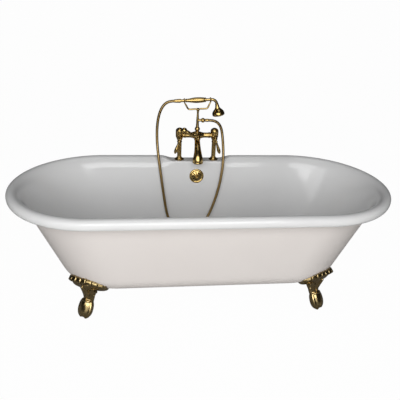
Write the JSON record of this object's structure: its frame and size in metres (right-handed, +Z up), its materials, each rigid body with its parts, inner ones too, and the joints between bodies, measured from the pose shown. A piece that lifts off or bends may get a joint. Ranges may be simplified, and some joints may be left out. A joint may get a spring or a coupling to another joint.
{
  "type": "bathtub",
  "caption": "White enamelled cast iron roll-rim bathtub on brass claw feet, with a deck bath tap set, cradle hand shower and hose, overflow and waste",
  "frame": {"origin": "on the floor, under the middle of the rim", "axes": "X runs along the tub, Y points to the side with the taps, Z is up"},
  "size_m": [1.702, 0.7622, 0.8656],
  "materials": {
    "enamelled_iron": "glossy white enamel inside and over the rim, satin off-white paint outside",
    "brass": "polished",
    "metal_hose": "polished interlocked metal hose",
    "rubber": "matte",
    "steel": "plain zinc-plated"
  },
  "bodies": {
    "tub_assembly": {"tub": "enamelled_iron", "foot_front_left": "brass", "foot_front_right": "brass", "foot_rear_left": "brass", "foot_rear_right": "brass", "foot_studs": "steel", "foot_washers": "steel", "foot_nuts": "steel", "overflow_plate": "brass", "overflow_screw": "brass", "overflow_gasket": "rubber", "overflow_elbow": "brass", "overflow_tube": "brass", "slip_nuts": "brass", "waste_tee": "brass", "waste_pipe": "brass", "waste_tail": "brass", "drain_shoe": "brass", "drain_gasket": "rubber", "drain_flange": "brass", "deck_washers": "rubber", "deck_flange_left": "brass", "deck_flange_right": "brass", "riser_left": "brass", "riser_right": "brass", "deck_backing_washers": "steel", "deck_locknuts": "brass", "tap_body": "brass", "bonnet_left": "brass", "bonnet_right": "brass", "diverter_bonnet": "brass", "spout": "brass", "cradle_nut": "brass", "cradle_column": "brass", "cradle_fork": "brass", "outlet_nut": "brass", "hose_ferrule": "brass", "shower_hose": "metal_hose"},
    "hot_lever": {"lever_left": "brass", "spindle_left": "brass"},
    "cold_lever": {"lever_right": "brass", "spindle_right": "brass"},
    "diverter": {"diverter_lever": "brass", "diverter_spindle": "brass"},
    "handset": {"hose_cone": "brass", "handset_tail": "brass", "handset_grip": "brass", "handset_neck": "brass", "shower_head": "brass", "spray_plate": "brass"},
    "stopper": {"drain_stopper": "brass"}
  },
  "joints": [
    {"name": "hot_lever_turn", "type": "hinge", "parent": "tub_assembly", "child": "hot_lever", "pos_m": [-0.0889, 0.303, 0.667], "axis": [0, 1, 0], "range_deg": [0, 90]},
    {"name": "cold_lever_turn", "type": "hinge", "parent": "tub_assembly", "child": "cold_lever", "pos_m": [0.0889, 0.303, 0.667], "axis": [0, -1, 0], "range_deg": [0, 90]},
    {"name": "diverter_turn", "type": "hinge", "parent": "tub_assembly", "child": "diverter", "pos_m": [0, 0.299, 0.673], "axis": [0, 1, 0], "range_deg": [0, 90]},
    {"name": "handset_lift", "type": "slide", "parent": "tub_assembly", "child": "handset", "axis": [0, 0, 1], "range_m": [0, 0.08], "deforming": ["shower_hose"]},
    {"name": "stopper_lift", "type": "slide", "parent": "tub_assembly", "child": "stopper", "axis": [0, 0, 1], "range_m": [0, 0.01]}
  ]
}
